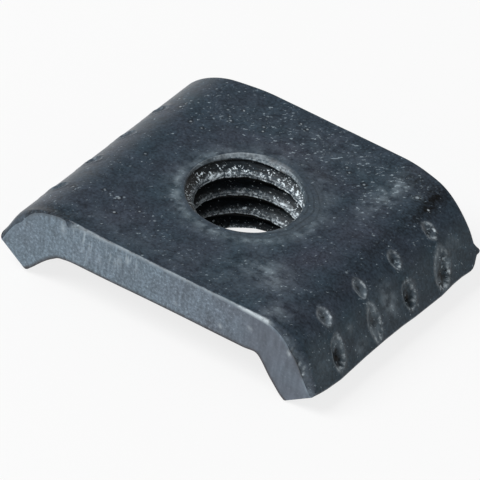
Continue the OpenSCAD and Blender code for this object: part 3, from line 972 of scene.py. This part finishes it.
def blackened_rolled_steel(colours):
    """Black oxide on rolled strip.

    The eye sees a thin dark blue-grey skin with a soft oily sheen, cloudy in places, with a fine
    grain and many small pale specks where it was knocked.
    """
    material, tree, shader, place, mask = new_material("black_oxide_rolled_steel")
    cloud = add(tree, "TexNoise", place, Scale=1 / (2.6 * MM), Detail=3.0, Roughness=0.55)
    mottle = add(tree, "TexNoise", place, Scale=1 / (0.6 * MM), Detail=4.0, Roughness=0.65)
    # The rolled grain is about 0.02 mm; it is drawn at 0.13 mm so that it shows.
    grain = add(tree, "TexNoise", place, Scale=1 / (0.13 * MM), Detail=2.0, Roughness=0.6)
    # Tint, from blue-green to a purplish grey.
    hue = add(tree, "MapRange", cloud, 0.35, 0.65, 0.25, 0.6)
    hue = add(tree, "Math", mask["warm"], 0.45, hue, operation="MULTIPLY_ADD")
    base = add(tree, "Mix", hue, data_type="RGBA", i6=rgba(colours.oxide_cool),
               i7=rgba(colours.oxide_warm)).outputs[2]
    shade = add(tree, "MapRange", mottle, 0.3, 0.7, 0.74, 1.3)
    fine = add(tree, "MapRange", grain, 0.25, 0.75, 0.5, 1.5)
    shade = add(tree, "Math", shade, fine, operation="MULTIPLY")
    base = add(tree, "VectorMath", base, operation="SCALE", Scale=shade)
    # Haze lies in soft wisps, and the pit mask darkens between the grains; that mask is mostly
    # painted shade, in the pits of the marks, down the right-hand fold and behind the hump.
    haze_and_highlight = add(tree, "MapRange", mottle, 0.38, 0.66, 0.1, 1.3)
    haze_and_highlight = add(tree, "Math", mask["haze_and_highlight"], haze_and_highlight, operation="MULTIPLY")
    dirt_and_shade = add(tree, "MapRange", grain, 0.3, 0.7, 1.5, 0.6)
    dirt_and_shade = add(tree, "Math", mask["pit"], dirt_and_shade, operation="MULTIPLY", use_clamp=True)
    # The tool left turning lines 0.26 mm apart in and round the mouth, mostly at the right.
    flat = add(tree, "VectorMath", place, (1, 1, 0), operation="MULTIPLY")
    radius = add(tree, "VectorMath", flat, operation="LENGTH").outputs["Value"]
    line = add(tree, "Math", cloud, 0.8 * MM, radius, operation="MULTIPLY_ADD")
    line = add(tree, "Math", line, 2 * math.pi / (0.26 * MM), operation="MULTIPLY")
    line = add(tree, "Math", line, operation="SINE")
    line = add(tree, "MapRange", line, 0.1, 0.9)
    ring = add(tree, "MapRange", radius, 3.4 * MM, 3.0 * MM, interpolation_type="SMOOTHSTEP")
    right = add(tree, "SeparateXYZ", place)
    right = add(tree, "MapRange", right, 0.0, 2.4 * MM, 0.15, 0.5)
    patchy = add(tree, "MapRange", mottle, 0.35, 0.6, 1.0, 0.2)
    for part in right, patchy:
        ring = add(tree, "Math", ring, part, operation="MULTIPLY")
    line = add(tree, "Math", line, ring, operation="MULTIPLY", use_clamp=True)
    # pale is a painted highlight on the mouth's rounded rim, in the haze colour, stronger to the
    # right.
    pale = add(tree, "Math", ring, 0.36, operation="MULTIPLY")
    # Specks: ragged dots in some of the cells, with lee, a dark dot of painted shade beside the
    # small ones.
    ragged = add(tree, "TexNoise", place, Scale=1 / (0.09 * MM), Detail=1.0).outputs["Color"]
    pushed = add(tree, "VectorMath", ragged, (0.09 * MM,) * 3, place, operation="MULTIPLY_ADD")
    dots = []
    for spacing, wide, share, shift in ((0.34, 0.24, 0.45, 0), (0.7, 0.14, 0.6, 0),
                                        (0.34, 0.28, 0.45, 0.07)):
        at = add(tree, "VectorMath", pushed, (shift * MM, -shift * MM, 0))
        cells = add(tree, "TexVoronoi", at, Scale=1 / (spacing * MM))
        lot = add(tree, "SeparateColor", cells.outputs["Color"])
        chosen = add(tree, "Math", mask["speck"], share, operation="MULTIPLY")
        chosen = add(tree, "Math", lot, chosen, operation="LESS_THAN")
        faint = add(tree, "MapRange", lot.outputs[1], i3=0.06, i4=0.5)
        dot = add(tree, "MapRange", cells, wide, wide * 0.3, interpolation_type="SMOOTHSTEP")
        for part in chosen, faint:
            dot = add(tree, "Math", dot, part, operation="MULTIPLY")
        dots.append(dot)
    small, large, lee = dots
    # Chips, drawn out at a slant.
    slanted = add(tree, "Mapping", place, vector_type="TEXTURE", Rotation=(0, 0, math.radians(48)),
                  Scale=(0.21 * MM, 0.12 * MM, 0.16 * MM))
    chips = add(tree, "TexNoise", slanted, Scale=1.0, Detail=2.0, Roughness=0.65)
    for more, weight in (mask["speck"], 0.085), (mottle, 0.25):
        chips = add(tree, "Math", more, weight, chips, operation="MULTIPLY_ADD")
    chips = add(tree, "MapRange", chips, 0.81, 0.88, i4=0.6)
    knocks = small
    for more in large, chips:
        knocks = add(tree, "Math", knocks, more, operation="MAXIMUM")
    # The bright mask paints worn steel and painted highlights: on the rolled front edge, on the
    # rims of the marks and at the back of the mouth.
    rubbed_and_highlight = add(tree, "MapRange", grain, 0.3, 0.7, 0.45, 1.3)
    rubbed_and_highlight = add(tree, "Math", mask["bright"], rubbed_and_highlight, operation="MULTIPLY", use_clamp=True)
    for share, over in ((haze_and_highlight, rgba(colours.haze_and_highlight)), (dirt_and_shade, rgba(colours.grime_and_shade)),
                        (pale, rgba(colours.haze_and_highlight)), (line, rgba(colours.grime_and_shade)),
                        (lee, rgba(colours.grime_and_shade)), (knocks, rgba(colours.haze_and_highlight, 1.4)),
                        (rubbed_and_highlight, rgba(colours.bare_and_highlight))):
        base = add(tree, "Mix", share, data_type="RGBA", i6=base, i7=over).outputs[2]
    rough = add(tree, "MapRange", mottle, 0.3, 0.7, 0.3, 0.46)
    relief = add(tree, "Math", mottle, 2.0, grain, operation="MULTIPLY_ADD")
    bump = add(tree, "Bump", Height=relief, Distance=0.012 * MM, Strength=0.5)
    fill(tree, shader, Base_Color=base, Metallic=0.0, Roughness=rough, Normal=bump,
         Coat_Weight=0.22, Coat_Roughness=0.16, Specular_IOR_Level=0.06)
    return material


def blackened_sheared_edge(colours):
    """Black oxide on the edge that the shears cut.

    The eye sees a paler blue-grey face with a torn, crystalline grain, faint drag lines down from
    its upper border, and a thin brown line along its lower one that is painted shade under the
    edge.
    """
    material, tree, shader, place, mask = new_material("black_oxide_sheared_edge")
    cloud = add(tree, "TexNoise", place, Scale=1 / (1.2 * MM), Detail=3.0, Roughness=0.6)
    # The torn grain is about 0.03 mm; it is drawn at 0.14 mm so that it shows.
    grain = add(tree, "TexNoise", place, Scale=1 / (0.14 * MM), Detail=3.0, Roughness=0.65)
    # The drag lines are about 0.22 mm apart and 1 mm long.
    upright = add(tree, "Mapping", place, Scale=(1 / (0.22 * MM), 1 / (0.22 * MM), 1 / MM))
    drag = add(tree, "TexNoise", upright, Scale=1.0, Detail=2.0)
    base = add(tree, "Mix", mask["warm"], data_type="RGBA", i6=rgba(colours.sheared),
               i7=rgba(colours.sheared_warm)).outputs[2]
    coarse = add(tree, "MapRange", grain, 0.3, 0.7, 0.55, 1.5)
    calm = add(tree, "Mix", mask["speck"], i2=1.0, i3=coarse)
    shade = add(tree, "MapRange", cloud, 0.3, 0.7, 0.88, 1.14)
    lines = add(tree, "MapRange", drag, 0.3, 0.7, 0.82, 1.2)
    for part in calm, lines:
        shade = add(tree, "Math", shade, part, operation="MULTIPLY")
    base = add(tree, "VectorMath", base, operation="SCALE", Scale=shade)
    glint = add(tree, "MapRange", grain, 0.62, 0.74, i4=0.6)
    glint = add(tree, "Math", glint, mask["speck"], operation="MULTIPLY")
    streak = add(tree, "MapRange", drag, 0.54, 0.68, i4=0.5)
    streak = add(tree, "Math", streak, mask["haze_and_highlight"], operation="MULTIPLY")
    # The bright mask adds a painted highlight along the upper border, where the rolled edge catches
    # the lamp.
    rubbed_and_highlight = mask["bright"]
    for more in glint, streak:
        rubbed_and_highlight = add(tree, "Math", rubbed_and_highlight, more, operation="MAXIMUM")
    # pit paints the lower border line and the crease at the right-hand fold dark brown: painted
    # shade.
    for share, over in (rubbed_and_highlight, colours.bare_and_highlight), (mask["pit"], colours.oil_and_shade):
        base = add(tree, "Mix", share, data_type="RGBA", i6=base, i7=rgba(over)).outputs[2]
    relief = add(tree, "Math", grain, drag, operation="ADD")
    bump = add(tree, "Bump", Height=relief, Distance=0.022 * MM, Strength=0.6)
    fill(tree, shader, Base_Color=base, Metallic=0.15, Roughness=0.55, Normal=bump)
    return material


def blackened_cut_thread(colours, thread):
    """Black oxide on turned and cut metal.

    The eye sees dusty crests and upward flanks, with fine lines along the thread and bright torn
    points, and near black grooves.
    """
    material, tree, shader, place, mask = new_material("black_oxide_cut_thread")
    grain = add(tree, "TexNoise", place, Scale=1 / (0.25 * MM), Detail=4.0, Roughness=0.7)
    # pit paints the grooves, the downward flanks and the left wall near black: painted shade.
    base = add(tree, "Mix", mask["pit"], data_type="RGBA", i6=rgba(colours.oxide_cool, 1.2),
               i7=rgba(colours.grime_and_shade)).outputs[2]
    rust = add(tree, "Math", mask["warm"], 0.3, operation="MULTIPLY")
    dust = add(tree, "MapRange", grain, 0.38, 0.62, 0.1)
    dust = add(tree, "Math", dust, mask["haze_and_highlight"], operation="MULTIPLY")
    for share, over in (rust, colours.oil_and_shade), (dust, colours.haze_and_highlight):
        base = add(tree, "Mix", share, data_type="RGBA", i6=base, i7=rgba(over)).outputs[2]
    # Cutting left fine lines that climb with the thread: these are drawn 0.06 mm apart. up is the
    # share of a pitch above the lower edge of the crest below.
    axes = add(tree, "SeparateXYZ", place)
    turn = add(tree, "Math", axes.outputs["Y"], axes.outputs["X"], operation="ARCTAN2")
    climb = add(tree, "Math", turn, -0.5 / math.pi,
                (thread.start_z - HIGH.z) / thread.pitch + thread.start * 0.5 / math.pi,
                operation="MULTIPLY_ADD")
    up = add(tree, "Math", axes.outputs["Z"], 1 / thread.pitch, climb, operation="MULTIPLY_ADD")
    up = add(tree, "Math", up, operation="FRACT")
    up = add(tree, "Math", up, 17.0, operation="MULTIPLY")
    up = add(tree, "CombineXYZ", Z=up)
    flat = add(tree, "VectorMath", place, (1, 1, 0), operation="MULTIPLY")
    outward = add(tree, "VectorMath", flat, operation="NORMALIZE")
    unrolled = add(tree, "VectorMath", outward, (7, 7, 7), up, operation="MULTIPLY_ADD")
    drawn = add(tree, "TexNoise", unrolled, Scale=1.0, Detail=3.0, Roughness=0.6)
    shade = add(tree, "MapRange", drawn, 0.35, 0.65, 0.35, 1.6)
    base = add(tree, "VectorMath", base, operation="SCALE", Scale=shade)
    # Torn points of metal and dry grit.
    grit = add(tree, "TexNoise", place, Scale=1 / (0.13 * MM), Detail=2.0, Roughness=0.75)
    dot = grit
    for more, weight in (mask["speck"], 0.22), (drawn, 0.3):
        dot = add(tree, "Math", more, weight, dot, operation="MULTIPLY_ADD")
    dot = add(tree, "MapRange", dot, 0.91, 0.95)
    torn = add(tree, "MapRange", grit, 0.45, 0.53, 0.1, 1.4)
    torn = add(tree, "Math", torn, mask["bright"], operation="MULTIPLY", use_clamp=True)
    rubbed_and_highlight = add(tree, "Math", torn, dot, operation="MAXIMUM")
    base = add(tree, "Mix", rubbed_and_highlight, data_type="RGBA", i6=base,
               i7=rgba(colours.bare_and_highlight, 1.6)).outputs[2]
    relief = add(tree, "Math", drawn, grit, operation="ADD")
    bump = add(tree, "Bump", Height=relief, Distance=0.04 * MM, Strength=0.7)
    fill(tree, shader, Base_Color=base, Metallic=0.0, Roughness=0.45, Normal=bump,
         Specular_IOR_Level=0.3)
    return material


# ---------------------------------------------------------------- operators

# The camera stands to the right and above, and is rolled a little, in degrees. The middle of its
# view lies left of and below its target, in metres.
VIEW_TURN, VIEW_RISE, VIEW_ROLL = 30.6, 36.3, 6.9
VIEW_TARGET = Vector((0, -0.0001, HIGH.z))
VIEW_LEFT, VIEW_DOWN = 0.000419, 0.001916
VIEW_DISTANCE, VIEW_LENS = 0.4, 679.5
# The lamp's place from the middle of the nut and its width, in metres, and its watts.
LAMP_PLACE, LAMP_WIDTH, LAMP_POWER = Vector((-0.26, -0.24, 0.46)), 0.42, 3.35
PAPER = "#e6e6e6"


class CLAMPNUT_OT_clamp_nut(bpy.types.Operator):
    """Builds the clamp nut with its thread, punch marks and sheared edges"""
    bl_idname = "clampnut.clamp_nut"
    bl_label = "Clamp nut"

    def execute(self, context):
        scene = context.scene
        nut = Nut(scene.clamp_nut_sizes, scene.clamp_nut_thread, scene.clamp_nut_marks)
        wear = Wear(nut)
        bm = nut.build(wear)
        nut.refine(bm, wear)
        colours = scene.clamp_nut_colours
        piece = finished_object("clamp_nut_detailed", bm, [
            blackened_rolled_steel(colours), blackened_sheared_edge(colours),
            blackened_cut_thread(colours, scene.clamp_nut_thread)])
        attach(piece, "root")
        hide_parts("clamp_nut")
        return {"FINISHED"}


class CLAMPNUT_OT_stage(bpy.types.Operator):
    """Adds the pale floor, the soft lights and the camera"""
    bl_idname = "clampnut.stage"
    bl_label = "Stage"

    def execute(self, context):
        scene = context.scene
        scene.view_settings.view_transform = "Standard"
        scene.camera = add_camera()
        add_lamp()
        white = rgba(scene.clamp_nut_colours.backdrop)
        bm = bmesh.new()
        bmesh.ops.create_grid(bm, x_segments=1, y_segments=1, size=3)
        mesh = bpy.data.meshes.new("floor")
        bm.to_mesh(mesh)
        bm.free()
        floor = bpy.data.objects.new("floor", mesh)
        scene.collection.objects.link(floor)
        # Matt paper. It glows white to the camera, and half as much in reflections.
        material = bpy.data.materials.new("matt_white_paper")
        material.use_nodes = True
        tree = material.node_tree
        shader = tree.nodes["Principled BSDF"]
        fill(tree, shader, Base_Color=rgba(linear(PAPER)), Roughness=0.9)
        path = add(tree, "LightPath")
        gloss = add(tree, "Math", path.outputs["Is Glossy Ray"], 0.5, operation="MULTIPLY")
        seen = add(tree, "Math", path.outputs["Is Camera Ray"], gloss, operation="MAXIMUM")
        share = add(tree, "Math", seen, 0.8, operation="MULTIPLY")
        glow = add(tree, "Emission", Color=white, Strength=1.0)
        mixed = add(tree, "MixShader", share, shader, glow)
        fill(tree, tree.nodes["Material Output"], Surface=mixed)
        mesh.materials.append(material)

        # The walls of the studio are white low down, and its ceiling is dim.
        scene.world = bpy.data.worlds.new("studio")
        scene.world.use_nodes = True
        tree = scene.world.node_tree
        path = add(tree, "LightPath")
        way = add(tree, "TexCoord").outputs["Generated"]
        height = add(tree, "SeparateXYZ", way).outputs["Z"]
        dim = add(tree, "MapRange", height, 0.1, 0.62, 1.0, 0.2, interpolation_type="SMOOTHSTEP")
        strength = add(tree, "Math", dim, path.outputs["Is Camera Ray"], operation="MAXIMUM")
        fill(tree, tree.nodes["Background"], Color=white, Strength=strength)
        return {"FINISHED"}


def add_lamp():
    """A round soft lamp at the left, in front and above."""
    light = bpy.data.lights.new("key_light", "AREA")
    light.shape, light.size, light.energy = "DISK", LAMP_WIDTH, LAMP_POWER
    obj = bpy.data.objects.new("key_light", light)
    obj.location = (LOW + HIGH) / 2 + LAMP_PLACE
    obj.rotation_euler = (-LAMP_PLACE).to_track_quat("-Z", "Y").to_euler()
    bpy.context.scene.collection.objects.link(obj)


def add_camera():
    turn, rise, roll = (math.radians(a) for a in (VIEW_TURN, VIEW_RISE, VIEW_ROLL))
    right = Vector((math.cos(turn), math.sin(turn), 0))
    back = Vector((math.sin(turn) * math.cos(rise), -math.cos(turn) * math.cos(rise),
                   math.sin(rise)))
    up = back.cross(right)
    camera_right = right * math.cos(roll) + up * math.sin(roll)
    camera_up = up * math.cos(roll) - right * math.sin(roll)
    aim = VIEW_TARGET - camera_right * VIEW_LEFT - camera_up * VIEW_DOWN
    place = aim + back * VIEW_DISTANCE
    camera = bpy.data.cameras.new("camera")
    camera.sensor_width = 36
    camera.lens = VIEW_LENS
    camera.clip_start = 0.01
    obj = bpy.data.objects.new("camera", camera)
    matrix = obj.matrix_world.copy()
    for i in range(3):
        matrix[i] = camera_right[i], camera_up[i], back[i], place[i]
    obj.matrix_world = matrix
    bpy.context.scene.collection.objects.link(obj)
    return obj


class VIEW3D_PT_clamp_nut(bpy.types.Panel):
    """Sizes, colours and buttons of the clamp nut"""
    bl_idname = "VIEW3D_PT_clamp_nut"
    bl_label = "Clamp nut"
    bl_space_type = "VIEW_3D"
    bl_region_type = "UI"
    bl_category = "Clamp nut"

    def draw(self, context):
        scene = context.scene
        for operator in OPERATORS:
            self.layout.operator(operator.bl_idname)
        for group in (scene.clamp_nut_sizes, scene.clamp_nut_thread, scene.clamp_nut_marks,
                      scene.clamp_nut_colours):
            box = self.layout.box()
            for name in group.bl_rna.properties.keys():
                if name not in ("rna_type", "name"):
                    box.prop(group, name)


OPERATORS = (CLAMPNUT_OT_clamp_nut, CLAMPNUT_OT_stage)
GROUPS = {"clamp_nut_sizes": ClampNutSizes, "clamp_nut_thread": ClampNutThread,
          "clamp_nut_marks": ClampNutMarks, "clamp_nut_colours": ClampNutColours}


def register():
    for name, group in GROUPS.items():
        bpy.utils.register_class(group)
        setattr(bpy.types.Scene, name, PointerProperty(type=group))
    for cls in OPERATORS + (VIEW3D_PT_clamp_nut,):
        bpy.utils.register_class(cls)


def unregister():
    for cls in (VIEW3D_PT_clamp_nut,) + OPERATORS[::-1]:
        bpy.utils.unregister_class(cls)
    for name, group in GROUPS.items():
        delattr(bpy.types.Scene, name)
        bpy.utils.unregister_class(group)


def main():
    register()
    bpy.ops.clampnut.clamp_nut()
    bpy.ops.clampnut.stage()


if __name__ == "__main__":
    main()
